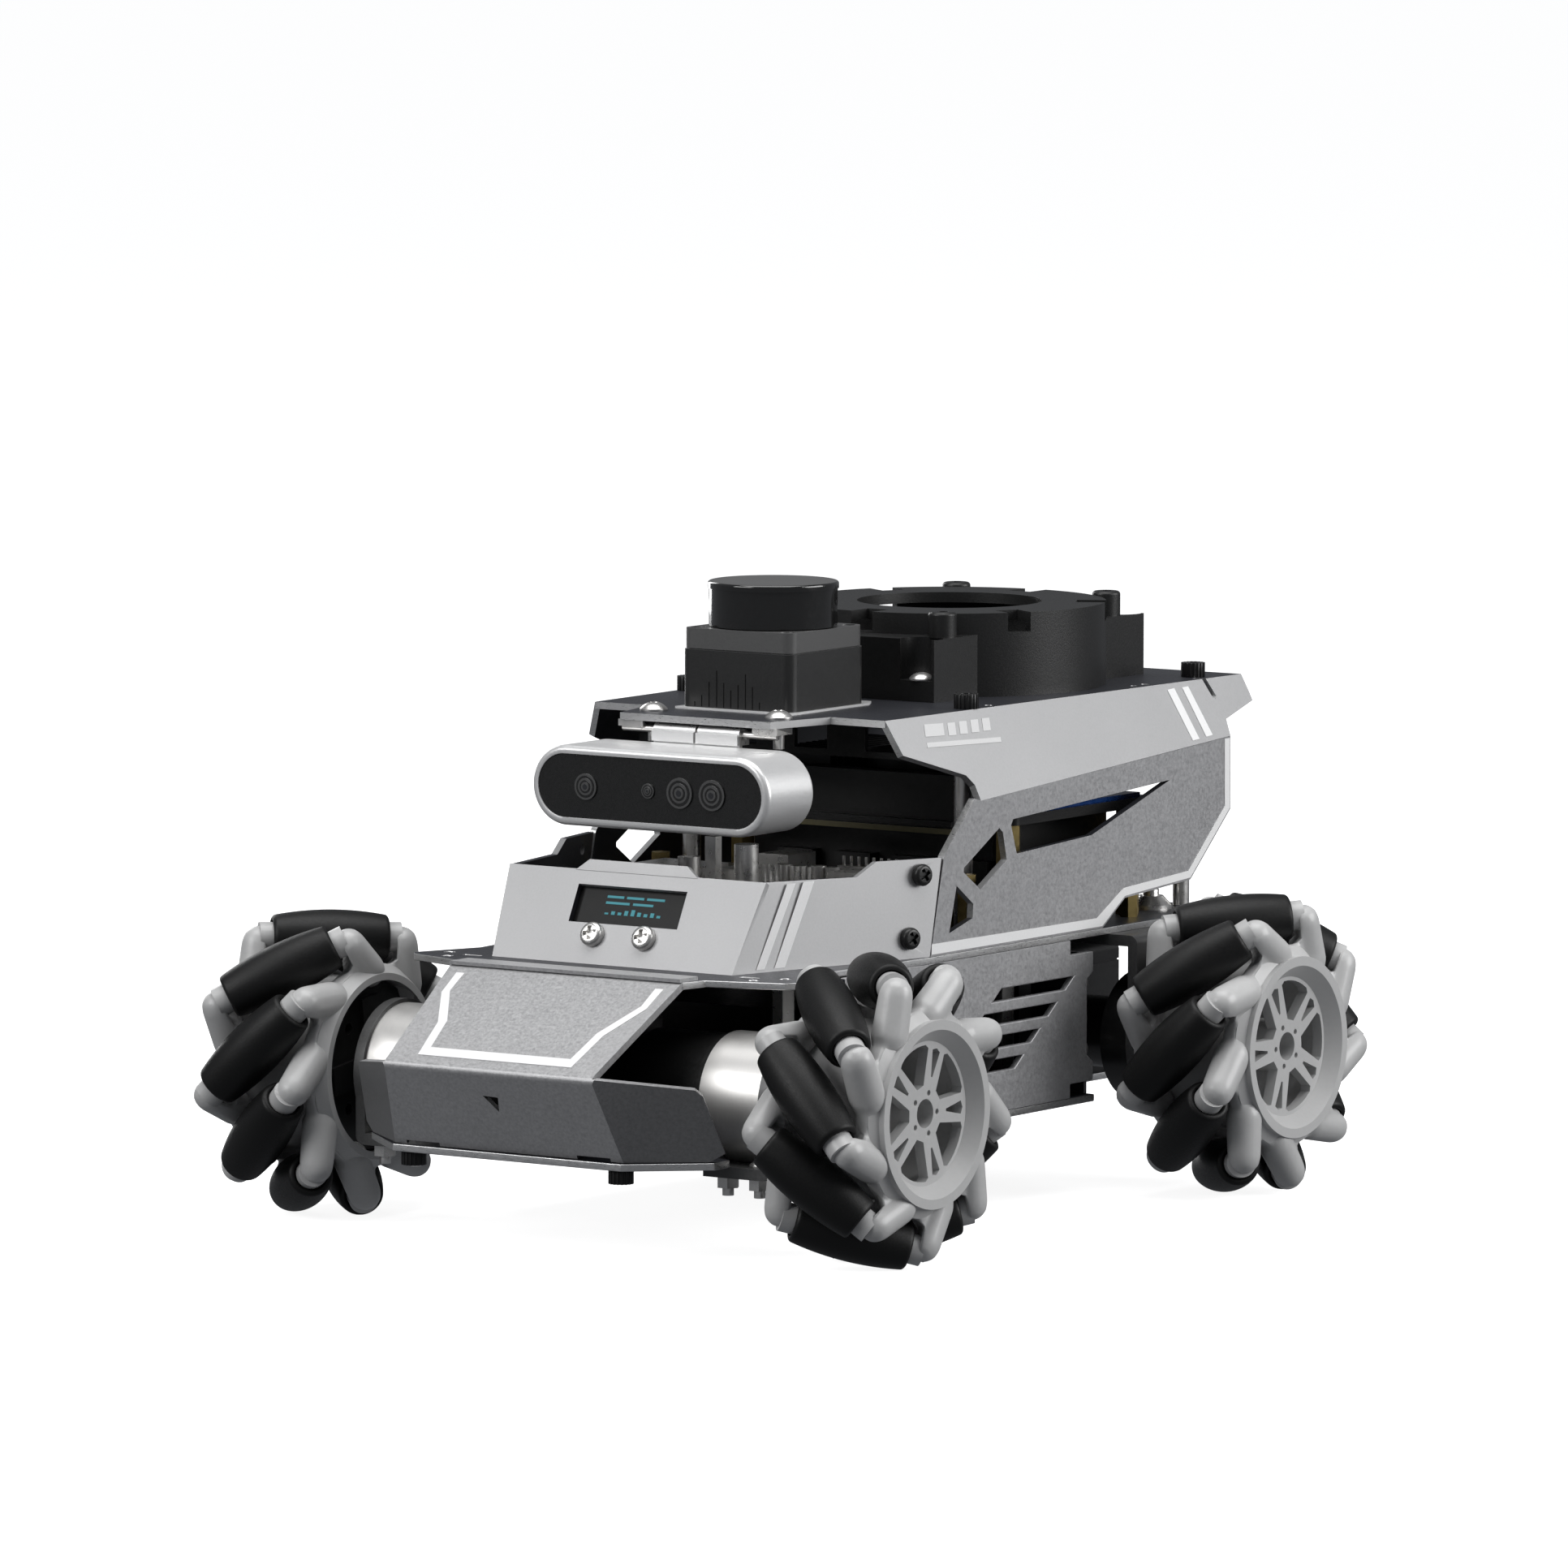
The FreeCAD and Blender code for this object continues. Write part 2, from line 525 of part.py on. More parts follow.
skirt = rod(V(0, LY, 164.6), V(0, LY, 175.2), LIDAR_HEAD_R - 0.35)
cap = rod(V(0, LY, 175.2), V(0, LY, 177.2), LIDAR_HEAD_R)
stem = rod(V(0, LY, 158.4), V(0, LY, 165.0), 6.0)
cap = cap.makeFillet(0.8, [e for e in cap.Edges if abs(e.CenterOfMass.z - 177.2) < 0.01])
head = join([skirt, cap, stem])
a = math.radians(34.5)
port = rod(V(16.9 * math.cos(a), LY + 16.9 * math.sin(a), 170.2), V(19 * math.cos(a), LY + 19 * math.sin(a), 170.2), 2.4)
b = math.radians(214.5)
port2 = rod(V(16.9 * math.cos(b), LY + 16.9 * math.sin(b), 170.2), V(19 * math.cos(b), LY + 19 * math.sin(b), 170.2), 2.4)
save("scanner_head", head.cut(Part.makeCompound([port, port2])))


# ---- depth camera hung from a hinge under the roof tab
shell = pill(CAM_W, CAM_H, CAM_FRONT, CAM_BACK, CAM_Z)
rim = [e for e in shell.Edges if abs(e.CenterOfMass.y - CAM_FRONT) < 0.01 or abs(e.CenterOfMass.y - CAM_BACK) < 0.01]
shell = shell.makeFillet(1.6, rim)
shell = shell.cut(pill(CAM_W - 4.6, CAM_H - 4.6, CAM_FRONT - 1, CAM_FRONT + 2.2, CAM_Z))
vents = []
for i in range(19):
    groove = box(-0.35, 0.35, -4.2, 4.2, -0.7, 2.0)
    groove = turned(groove, -40, V(0, 0, 0), V(0, 0, 1))
    vents.append(moved(groove, -28.0 + 3.1 * i, -57.5, CAM_Z + CAM_H / 2.0))
shell = shell.cut(Part.makeCompound(vents))
leaf = box(-14.6, 14.6, CAM_BACK, CAM_BACK + 1.4, CAM_Z - 3.0, 134.6)
knuckles = []
for x0, x1 in ((-14.6, -0.35), (0.35, 14.6)):
    k = box(x0, x1, ROD_Y - 3.1, ROD_Y + 2.9, 134.2, ROD_Z)
    k = k.fuse(rod(V(x0, ROD_Y, ROD_Z), V(x1, ROD_Y, ROD_Z), 2.2))
    knuckles.append(k.cut(rod(V(x0 - 1, ROD_Y, ROD_Z), V(x1 + 1, ROD_Y, ROD_Z), ROD_R + BORE_GAP)))
leaf = join([leaf] + knuckles)
shell = shell.fuse(leaf).removeSplitter()
save("camera_shell", shell)

glass = pill(CAM_W - 4.6, CAM_H - 4.6, CAM_FRONT + 0.3, CAM_FRONT + 2.2, CAM_Z)
barrels = []
for x, r in ((-21.6, 3.7), (-0.4, 2.1), (10.3, 4.3), (21.2, 4.3)):
    barrels.append(tube(V(x, CAM_FRONT - 0.1, CAM_Z), V(x, CAM_FRONT + 0.3, CAM_Z), r, r * 0.62))
save("camera_window", [glass] + barrels)

ears = [box(min(sx * 18.6, sx * 27.0), max(sx * 18.6, sx * 27.0), ROD_Y - 1.6, ROD_Y + 6.0, 137.6, TOP_PLATE - SHEET)
        for sx in (-1, 1)]
save("camera_hinge", join([rod(V(-26.2, ROD_Y, ROD_Z), V(26.2, ROD_Y, ROD_Z), ROD_R)] + ears))


# ---- accessory ring on the rear of the roof
def ring_point(r, degrees, z):
    a = math.radians(degrees)
    return V(r * math.cos(a), RING_Y + r * math.sin(a), z)


wall = tube(V(0, RING_Y, TOP_PLATE), V(0, RING_Y, RING_TOP), RING_R, RING_R - 3.0)
crown = tube(V(0, RING_Y, RING_TOP - 3.0), V(0, RING_Y, RING_TOP), RING_R, RING_BORE_R)
blocks = []
for sy in (-1, 1):
    y0, y1 = sorted((RING_Y + sy * 28.0, RING_Y + sy * 54.5))
    block = box(-31.2, 31.2, y0, y1, TOP_PLATE, 159.2)
    blocks.append(block.cut(rod(V(0, RING_Y, 140), V(0, RING_Y, 170), RING_R - 3.0)))
columns = []
bores = []
seats = []
for sx in (-1, 1):
    for sy in (-1, 1):
        x, y = sx * POST_X, RING_Y + sy * POST_DY
        col = rod(V(x, y, 159.0), V(x, y, 166.3), 4.07)
        col = col.makeFillet(1.0, [e for e in col.Edges if abs(e.CenterOfMass.z - 166.3) < 0.01])
        columns.append(col)
        bores.append(rod(V(x, y, 157.0), V(x, y, 167), 1.6))
        x, y = sx * SEAT_X, RING_Y + sy * SEAT_DY
        seats.append(rod(V(x, y, 147.5), V(x, y, 160), 6.1))
        bores.append(rod(V(x, y, 141), V(x, y, 148), 2.0))
notches = []
for k in range(6):
    n = box(36.5, 46.0, -3.6, 3.6, 159.7, 166)
    n = moved(n, 0, RING_Y, 0)
    notches.append(turned(n, 30 + 60 * k, V(0, RING_Y, 0), V(0, 0, 1)))
mount = join([wall, crown] + blocks).cut(Part.makeCompound(seats))
mount = join([mount] + columns).cut(Part.makeCompound(notches)).cut(Part.makeCompound(bores))
save("accessory_ring", mount)


# ---- computer under the roof, with a heat sink, and its slotted frame
board = box(-40.2, 40.2, 22.5, 40.2, 105.0, 106.6)
skirt = box(-38.5, 38.5, 25.5, 40.0, 106.6, 108.3)
case = box(-39.8, 39.8, 28.2, 60, 108.3, 121.1).cut(box(-60, 60, 40.3, 70, 108, 110.7))
case = case.fuse(box(-39.8, 39.8, 55, 100, 110.7, 121.1)).removeSplitter()
case = case.cut(box(-37, 37, 34, 96, 118.7, 122))
fins = [box(-36, -10, y, y + 1.0, 118.7, 124.0) for y in [36 + 3.2 * i for i in range(18)]]
fan = tube(V(9.5, 55.5, 118.7), V(9.5, 55.5, 124.9), 18.0, 16.4)
hub = rod(V(9.5, 55.5, 118.7), V(9.5, 55.5, 124.1), 8.5)
legs = [hexagon(V(sx * 45.6, y, DECK_TOP), V(0, 0, 1), 6.5, 106.5 - DECK_TOP) for sx in (-1, 1) for y in (43.9, 106.0)]
frame = box(-47, 47, -6.0, 2.0, 128.6, TOP_PLATE - SHEET).cut(box(-45, 45, -4.5, 3.0, 128, 138))
for x in (-36, -12, 12, 36):
    frame = frame.cut(box(x - 5.5, x + 5.5, -8, -3, 130.5, 137.5))
save("computer_module", [board, skirt, case, fan, hub, frame] + fins + legs)

tray = box(-50, 50, 40.5, 112, 106.5, 109.4)
tray = tray.makeFillet(3.0, [e for e in tray.Edges if abs(e.Vertexes[0].Point.z - e.Vertexes[-1].Point.z) > 2])
top_board = box(-47, 48.6, 43.0, 108, 109.4, 110.6)
drive_box = box(-41, 41, 43, 102, 85.0, 105.0)
drive_legs = [hexagon(V(sx * 36, y, DECK_TOP), V(0, 0, 1), 5.0, 9.5) for sx in (-1, 1) for y in (48, 96)]
drive_plugs = [box(-30 + 20 * i, -18 + 20 * i, 38.5, 43, 88, 96) for i in range(4)]
save("power_board", [tray, top_board, drive_box] + drive_legs + drive_plugs)


# ---- controller board in the cabin, with the small display behind the window
PCB_TOP = 91.6
pcb = box(-33, 33, -66, 30, 90.0, PCB_TOP)
pcb = pcb.fuse(box(-42.8, 42.8, -30, 30, 90.0, PCB_TOP))
stands = [hexagon(V(x, y, DECK_TOP), V(0, 0, 1), 5.0, 90.0 - DECK_TOP) for x, y in
          ((-29, -62), (29, -62), (-40, 26), (40, 26))]
cans = []
for x, y, r, h in ((17, -45, 3.4, 15.3), (9.4, -15, 2.1, 6.6), (14.4, -15, 2.1, 6.4), (21.0, -15, 2.1, 6.8),
                   (25.6, -15, 2.1, 6.6), (-6, -40, 3.2, 10)):
    cans.append(rod(V(x, y, PCB_TOP), V(x, y, PCB_TOP + h), r))
blocks = [box(3.6, 7.2, -46, -43, PCB_TOP, 108.4), box(-30, -20, -58, -48, PCB_TOP, 99),
          box(30, 40, -24, -12, PCB_TOP, 98), box(-34, -12, -30, -12, PCB_TOP, 97), box(-4, 6, -30, -20, PCB_TOP, 97.5),
          box(18, 42, -1.5, 1.5, PCB_TOP, 97.2), box(-14, -4, 6, 20, PCB_TOP, 98)]
pins = [box(9.0 + 2.0 * i, 9.7 + 2.0 * i, -32.4, -31.6, PCB_TOP, 100.0) for i in range(11)]
pins += [box(19.0 + 2.54 * i, 19.6 + 2.54 * i, -0.3, 0.3, 97.2, 99.9) for i in range(9)]
screen = moved(turned(box(-19.5, 19.5, 0, 1.6, -6.8, 6.8), -lean), 0, -76.2, 90.95)
save("controller_board", [pcb, screen] + stands + cans + blocks + pins)


# ---- battery behind the floor plate's centre
pack = box(-36, 36, -50, 40, FLOOR_TOP, 62)
pack = pack.makeFillet(5.0, [e for e in pack.Edges if abs(e.Vertexes[0].Point.y - e.Vertexes[-1].Point.y) > 10])
tail = box(-33.5, 33.5, 68.0, 120.5, FLOOR_TOP, 67.0)
tail = tail.makeFillet(4.0, [e for e in tail.Edges if e.Vertexes[0].Point.z > 66 and e.Vertexes[-1].Point.z > 66])
seam = box(-40, 40, 60, 130, 60.0, 60.5).cut(box(-33.1, 33.1, 68.4, 120.1, 59, 62))
save("battery_pack", [pack, tail.cut(seam)])


# ---- screws and nuts
CHEEK_D = CAB_B.sub(CAB_A)
CHEEK_N = CHEEK_D.cross(V(SIDE_X, -18.0, DECK_TOP).sub(CAB_A))
CHEEK_N.normalize()
if CHEEK_N.x < 0:
    CHEEK_N = CHEEK_N.multiply(-1)


def cheek_point(y, z):
    # the point of the left cheek's outer face at that y and z
    x = CAB_A.x - (CHEEK_N.y * (y - CAB_A.y) + CHEEK_N.z * (z - CAB_A.z)) / CHEEK_N.x
    return V(x, y, z)


bits = []
for sx in (-1, 1):
    for sy in (-1, 1):
        x, y = sx * SEAT_X, RING_Y + sy * SEAT_DY
        bits.append(button_head(V(x, y, 147.5), V(0, 0, 1), 3.6, 2.3))
    bits.append(button_head(V(sx * 21.3, -35.4, TOP_PLATE), V(0, 0, 1), 3.9, 2.5))
    bits.append(rod(V(sx * 21.3, -35.4, 133.0), V(sx * 21.3, -35.4, 137.0), 1.6))
    for y in (19.5, 137.5):
        bits.append(socket_head(V(sx * 47.5, y, TOP_PLATE), V(0, 0, 1), 3.5, 4.2))
    for x, y in ((35.0, -131.0), (30.0, -46.0), (30.0, 46.0)):
        bits.append(socket_head(V(sx * x, y, FLOOR_BOTTOM), V(0, 0, -1), 3.5, 4.0))
    for axle in (-AXLE_Y, AXLE_Y):
        for dy in (-13.5, 13.5) if axle < 0 else ():
            for x in (53.0, 63.5):
                p = V(sx * x, axle + dy, FLOOR_BOTTOM - BRACKET_T)
                bits.append(hexagon(p, V(0, 0, -1), 5.6, 3.2))
                bits.append(rod(V(p.x, p.y, p.z - 3.2), V(p.x, p.y, p.z - 5.4), 1.6))
                if x > 60:
                    bits.append(button_head(V(p.x, p.y, FLOOR_BOTTOM), V(0, 0, 1), 2.9, 1.9))
    for y, z in ((-20.5, 98.7), (-25.2, 81.3)):
        q = cheek_point(y, z)
        bits.append(pan_head(V(sx * q.x, q.y, q.z), V(sx * CHEEK_N.x, CHEEK_N.y, CHEEK_N.z), 3.1, 2.2))
    bits.append(pan_head(V(sx * 8.7, -82.35 - 0.1, 83.1), V(0, -math.cos(math.radians(lean)), math.sin(math.radians(lean))),
                         3.5, 2.4))
    for z in (59.6, 41.0):
        bits.append(button_head(V(sx * 54.4, 65.5, z), V(0, 1, 0), 4.0, 2.6))
    knob = Part.makeCone(6.0, 3.6, 2.6, V(sx * 44.0, 121.0, DECK_TOP + 1.2), V(0, 0, 1))
    knob = join([knob, rod(V(sx * 44.0, 121.0, DECK_TOP), V(sx * 44.0, 121.0, DECK_TOP + 1.2), 6.0),
                 rod(V(sx * 44.0, 121.0, DECK_TOP + 3.0), V(sx * 44.0, 121.0, DECK_TOP + 5.6), 2.4)])
    bits.append(knob)
save("fasteners", bits)
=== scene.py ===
import math

import bmesh
import bpy
from mathutils import Matrix, Vector


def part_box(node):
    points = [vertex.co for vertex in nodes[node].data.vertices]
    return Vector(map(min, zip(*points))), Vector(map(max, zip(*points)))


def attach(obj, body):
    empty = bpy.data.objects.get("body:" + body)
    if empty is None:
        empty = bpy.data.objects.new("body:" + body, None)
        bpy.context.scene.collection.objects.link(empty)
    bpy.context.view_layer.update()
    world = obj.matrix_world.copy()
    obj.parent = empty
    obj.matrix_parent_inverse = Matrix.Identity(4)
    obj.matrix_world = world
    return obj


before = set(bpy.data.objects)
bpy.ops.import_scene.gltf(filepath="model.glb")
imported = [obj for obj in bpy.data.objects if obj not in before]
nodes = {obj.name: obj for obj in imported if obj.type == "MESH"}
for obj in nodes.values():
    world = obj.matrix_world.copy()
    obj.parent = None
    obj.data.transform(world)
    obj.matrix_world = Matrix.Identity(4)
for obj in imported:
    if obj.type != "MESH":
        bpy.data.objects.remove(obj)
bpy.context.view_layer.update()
MM = 0.001
SHIFT = -4.5

# places that several sections share, in drawing millimetres
AXLE_Y = 92.15
TRACK_X = 93.26
WHEEL_R = 42.85
SIDE_X = 60.5
DECK_TOP = 75.5
HOOD_TOP_Y = -107.8
HOOD_BEND_Y = -145.3
HOOD_BEND_Z = 52.2


def mm(x, y, z):
    # drawing coordinates in millimetres, y = 0 midway between the axles, to the frame's metres
    return Vector((x * MM, (y + SHIFT) * MM, z * MM))


# ---------------------------------------------------------------- materials
BUMP_DEPTH = 0.0002


def rgb(v, tint=(1.0, 1.0, 1.0)):
    return (v * tint[0], v * tint[1], v * tint[2], 1.0)


def spread(nt, source, low, high):
    # maps a noise's usual range onto low..high
    node = nt.nodes.new("ShaderNodeMapRange")
    node.inputs["From Min"].default_value = 0.3
    node.inputs["From Max"].default_value = 0.7
    node.inputs["To Min"].default_value = low
    node.inputs["To Max"].default_value = high
    nt.links.new(source.outputs["Fac"], node.inputs["Value"])
    return node.outputs["Result"]


def material(name, color, metallic=0.0, rough=0.5, grain=0.0, scale=900.0, bump=0.0, detail=2.0,
             rough_var=0.0, coat=0.0, specular=0.5, stretch=(1, 1, 1), tint_var=0.0, tint_scale=30.0):
    # grain and tint_var vary the colour finely and broadly; rough_var and bump follow the fine noise
    m = bpy.data.materials.new(name)
    m.use_nodes = True
    nt = m.node_tree
    b = nt.nodes["Principled BSDF"]
    b.inputs["Base Color"].default_value = color
    b.inputs["Metallic"].default_value = metallic
    b.inputs["Roughness"].default_value = rough
    b.inputs["Specular IOR Level"].default_value = specular
    b.inputs["Coat Weight"].default_value = coat
    tex = nt.nodes.new("ShaderNodeTexCoord")
    mapping = nt.nodes.new("ShaderNodeMapping")
    mapping.inputs["Scale"].default_value = stretch
    nt.links.new(tex.outputs["Object"], mapping.inputs["Vector"])
    noise = nt.nodes.new("ShaderNodeTexNoise")
    noise.inputs["Scale"].default_value = scale
    noise.inputs["Detail"].default_value = detail
    noise.inputs["Roughness"].default_value = 0.7
    nt.links.new(mapping.outputs["Vector"], noise.inputs["Vector"])
    if grain > 0 or tint_var > 0:
        wide = nt.nodes.new("ShaderNodeTexNoise")
        wide.inputs["Scale"].default_value = tint_scale
        nt.links.new(tex.outputs["Object"], wide.inputs["Vector"])
        mult = nt.nodes.new("ShaderNodeMath")
        mult.operation = "MULTIPLY"
        nt.links.new(spread(nt, noise, 1.0 - grain, 1.0 + grain), mult.inputs[0])
        nt.links.new(spread(nt, wide, 1.0 - tint_var, 1.0 + tint_var), mult.inputs[1])
        hue = nt.nodes.new("ShaderNodeHueSaturation")
        hue.inputs["Color"].default_value = color
        nt.links.new(mult.outputs["Value"], hue.inputs["Value"])
        nt.links.new(hue.outputs["Color"], b.inputs["Base Color"])
    if rough_var > 0:
        varied = spread(nt, noise, max(0.02, rough - rough_var), min(1.0, rough + rough_var))
        nt.links.new(varied, b.inputs["Roughness"])
    if bump > 0:
        relief = nt.nodes.new("ShaderNodeBump")
        relief.inputs["Strength"].default_value = bump
        relief.inputs["Distance"].default_value = BUMP_DEPTH
        nt.links.new(noise.outputs["Fac"], relief.inputs["Height"])
        nt.links.new(relief.outputs["Normal"], b.inputs["Normal"])
    return m


M = {}
# the anodised sheet is one metal painted in tones by face direction: this tone and the lighter slope tone
# are painted light
M["sheet"] = material("anodised_sheet", rgb(0.40, (1, 1, 1.01)), 0.55, 0.46, 0.05, 1500, 0.08, 3, 0.06,
                      tint_var=0.02)
M["slope"] = material("sparkling_slope_painted_light", rgb(0.44, (1, 1, 1.01)), 0.55, 0.44, 0.16, 1100, 0.2, 3, 0.10,
                      tint_var=0.02)
# painted shade: the panel tone (outward sides, the hood's front) and the darker wing tone (the hood's low
# sides) are the same metal in shade
M["panel"] = material("anodised_panel_painted_shade", rgb(0.36, (1, 1, 1.02)), 0.55, 0.46, 0.14, 1100, 0.2, 3, 0.10,
                      tint_var=0.02)
M["wing"] = material("anodised_wing_painted_shade", rgb(0.20, (1, 1, 1.02)), 0.55, 0.46, 0.14, 1100, 0.2, 3, 0.10,
                     tint_var=0.02)
# painted shade: the darkest tone of the same metal, for faces turned up, inward or back and for the plates
M["slate"] = material("anodised_slate", rgb(0.028, (0.92, 0.96, 1.18)), 0.3, 0.42, 0.08, 1500, 0.08, 3, 0.06,
                      tint_var=0.04)
# the cut edges' brightness is partly bare metal and partly a painted highlight on the edges
M["edge"] = material("cut_edge", rgb(0.62), 0.9, 0.34, 0.08, 700, 0.1, 2, 0.08, stretch=(1, 1, 6))
M["white_print"] = material("white_print", rgb(0.80), 0.0, 0.55, 0.02, 1500, 0.05)
M["pale_print"] = material("pale_print", rgb(0.62), 0.0, 0.50, 0.02, 1500, 0.05)
M["black_plastic"] = material("black_plastic", rgb(0.010), 0.0, 0.40, 0.10, 1800, 0.20, 3, 0.06,
                              tint_var=0.05, specular=0.42)
M["black_satin"] = material("black_satin", rgb(0.012), 0.2, 0.34, 0.05, 900, 0.08, 2, 0.06)
M["gloss_black"] = material("gloss_black", rgb(0.008), 0.0, 0.13, 0.05, 500, 0.02, 2, 0.03, coat=0.6)
M["scanner_shell"] = material("scanner_shell", rgb(0.016), 0.0, 0.34, 0.06, 2200, 0.10, 3, 0.06,
                              tint_var=0.04)
M["scanner_cap"] = material("scanner_cap", rgb(0.075), 0.0, 0.40, 0.05, 2200, 0.12, 3, 0.06, tint_var=0.03)
# painted shade: the black inside the scanner's grooves
M["groove"] = material("groove_black", rgb(0.004), 0.0, 0.7, 0.05, 900, 0.05, specular=0.1)
M["hub"] = material("hub_plastic", rgb(0.46, (1, 1, 0.995)), 0.0, 0.38, 0.02, 700, 0.06, 2, 0.06, coat=0.10,
                    tint_var=0.02)
M["rubber"] = material("rubber", rgb(0.005), 0.0, 0.48, 0.10, 1600, 0.20, 4, 0.08, tint_var=0.10,
                       specular=0.28)
M["steel"] = material("bright_steel", rgb(0.70, (1, 0.985, 0.96)), 0.9, 0.30, 0.03, 400, 0.0, 2, 0.04)
M["turned_steel"] = material("turned_steel", rgb(0.78, (1, 0.985, 0.96)), 0.85, 0.38, 0.015, 260, 0.0, 2,
                             0.02, stretch=(10, 1, 1))
M["brass"] = material("brass", (0.38, 0.29, 0.12, 1), 1.0, 0.35, 0.05, 400, 0.05, 2, 0.06)
M["camera_alu"] = material("camera_alu", rgb(0.72), 0.55, 0.36, 0.02, 1500, 0.04, 2, 0.05)
M["camera_face"] = material("camera_face", rgb(0.012), 0.0, 0.28, 0.04, 1500, 0.04, 2, 0.05)
M["board"] = material("board_mask", rgb(0.010), 0.0, 0.35, 0.10, 300, 0.1, 2, 0.05)
M["board_edge"] = material("board_edge", (0.13, 0.115, 0.055, 1), 0.0, 0.6, 0.05, 600, 0.1)
M["blue"] = material("blue_board", (0.008, 0.06, 0.26, 1), 0.0, 0.3, 0.08, 300, 0.1, 2, 0.05)
M["screen"] = material("screen_glass", rgb(0.010), 0.0, 0.25, 0.02, 300, 0.02, specular=0.15)
M["ring_grey"] = material("lens_ring", rgb(0.07), 0.0, 0.3, 0.04, 900, 0.03)
M["dark_bracket"] = material("bracket_grey", rgb(0.10), 0.6, 0.42, 0.10, 1300, 0.15, 3, 0.08)


def glow(name, color, strength):
    m = bpy.data.materials.new(name)
    m.use_nodes = True
    b = m.node_tree.nodes["Principled BSDF"]
    b.inputs["Base Color"].default_value = (0.0, 0.02, 0.025, 1)
    b.inputs["Emission Color"].default_value = color
    b.inputs["Emission Strength"].default_value = strength
    return m


M["cyan"] = glow("cyan_pixels", (0.08, 0.52, 0.62, 1), 0.42)
M["lens"] = material("lens_glass", rgb(0.02, (0.9, 0.95, 1.1)), 0.0, 0.06, 0.03, 300, 0.01, coat=1.0)


WELD_DISTANCE = 0.000004
BEVEL_ANGLE = math.radians(30)


def paint(node, default, rule=None, bevel=0.25, segments=2):
    # gives a CAD node its materials; rule(centre in drawing mm, normal) may name another material for a face
    o = nodes[node]
    me = o.data
    me.materials.clear()
    used = [default]
    me.materials.append(M[default])
    for p in me.polygons:
        p.use_smooth = True
        p.material_index = 0
        if rule:
            c = p.center
            name = rule(Vector((c.x / MM, c.y / MM - SHIFT, c.z / MM)), p.normal) or default
            if name not in used:
                used.append(name)
                me.materials.append(M[name])
            p.material_index = used.index(name)
    weld = o.modifiers.new("weld", "WELD")
    weld.merge_threshold = WELD_DISTANCE
    if bevel > 0:
        b = o.modifiers.new("bevel", "BEVEL")
        b.width = bevel * MM
        b.segments = segments
        b.limit_method = "ANGLE"
        b.angle_limit = BEVEL_ANGLE
        b.harden_normals = False
        b.use_clamp_overlap = True
    o.modifiers.new("normals", "WEIGHTED_NORMAL").keep_sharp = False
    return o


# sheet faces turned up, inward or back get the dark painted shade
def sheet_rule(c, n):
    side = 1 if c.x > 0 else -1
    if abs(n.z) > 0.93 or n.x * side < -0.5 or n.y > 0.6:
        return "slate"
    return None


# by face direction: dark painted shade for flat and inner faces, the panel's painted shade for outward
# sides, the cut-edge tone front and back
def cover_rule(c, n):
    side = 1 if c.x > 0 else -1
    if abs(n.z) > 0.93 or n.x * side < -0.5:
        return "slate"
    if n.x * side > 0.985:
        return "panel"
    if abs(n.y) > 0.6:
        return "edge"
    return None


# the plates' sides take the cut-edge tone, partly painted highlight
def plate_rule(c, n):
    return "edge" if abs(n.z) < 0.5 else None


# by face direction: dark painted shade at the back and underneath, painted shade on the low sides and the
# front, painted light on the slope
def hood_rule(c, n):
    if n.y > 0.3 or n.z < -0.6:
        return "slate"
    if abs(n.x) > 0.3 and c.z < 52.5:
        return "wing"
    if n.z < 0.1 and n.y < -0.3:
        return "panel"
    return "slope"


# inner and end faces get the dark painted shade
def lower_rule(c, n):
    side = 1 if c.x > 0 else -1
    if n.x * side < -0.5 or abs(n.y) > 0.9:
        return "slate"
    return None


# the sheets and plates take painted light and shade of one metal, by the face rules above
paint("upper_cover", "sheet", cover_rule, 0.5)
paint("display_cabin", "sheet", sheet_rule, 0.4)
paint("front_hood", "sheet", hood_rule, 0.4)
paint("deck_plate", "slate", plate_rule, 0.3)
paint("bottom_plate", "slate", plate_rule, 0.3)
paint("lower_side_panels", "panel", lower_rule, 0.4)
paint("motor_brackets", "dark_bracket", None, 0.3)


def motor_rule(c, n):
    # only the front gearboxes are bright
    return "turned_steel" if c.y <= 0 and abs(c.x) > 46.39 else None


paint("gear_motors", "black_satin", motor_rule, 0.3)


def standoff_rule(c, n):
    rear = abs(abs(c.x) - 50) < 3.2 and abs(c.y - 100) < 4
    front = abs(abs(c.x) - 52.5) < 3.2 and abs(c.y - 12.5) < 3.4
    return "brass" if rear or front else None


paint("standoffs", "steel", standoff_rule, 0.15)


def scanner_rule(c, n):
    if c.z < 142.11:
        return "camera_alu"
    if c.z > 155.2:
        return "scanner_cap"
    return None


paint("scanner_body", "scanner_shell", scanner_rule, 0.2)
paint("scanner_head", "gloss_black", lambda c, n: "scanner_cap" if n.z > 0.9 else None, 0.12)
paint("camera_shell", "camera_alu", lambda c, n: "steel" if c.y > -44.9 else None, 0.15)
paint("camera_window", "camera_face", None, 0.1)
paint("camera_hinge", "steel", lambda c, n: "dark_bracket" if c.y > -41.5 else None, 0.15)
paint("accessory_ring", "black_plastic", None, 0.35)


def computer_rule(c, n):
    if 104.9 < c.z < 106.7 and abs(c.x) < 41 and c.y < 41:
        return "board_edge" if abs(n.z) < 0.5 else "board"
    if c.z < 106.6:
        return "brass"
    return None


paint("computer_module", "black_plastic", computer_rule, 0.2)


def power_rule(c, n):
    if c.z > 109.35:
        return "blue"
    if c.z < 84.9 and abs(c.x) > 33:
        return "brass"
    return None


paint("power_board", "black_plastic", power_rule, 0.3)


